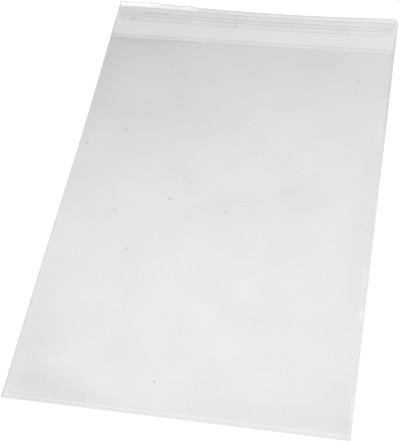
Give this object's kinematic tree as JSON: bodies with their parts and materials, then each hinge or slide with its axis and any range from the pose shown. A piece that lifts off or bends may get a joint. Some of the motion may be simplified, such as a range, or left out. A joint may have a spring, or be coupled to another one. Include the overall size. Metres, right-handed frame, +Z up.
{
  "type": "cellophane bag",
  "caption": "Flat clear self-seal film bag with welded sides and bottom, an open mouth and a longer back lip carrying an adhesive strip under a release liner.",
  "frame": {"origin": "centre of the flat underside, on the surface that the bag lies on", "axes": "+Z up out of the front panel, +Y along the bag from its welded bottom to the lip, +X to the right seen from the bottom edge"},
  "size_m": [0.22, 0.346, 0.0016],
  "materials": {
    "clear_film": "clear glossy film",
    "clear_adhesive": "clear soft adhesive",
    "clear_liner": "clear satin film"
  },
  "bodies": {
    "root": {"bag_film": "clear_film", "adhesive_strip": "clear_adhesive", "release_liner": "clear_liner"}
  },
  "joints": []
}
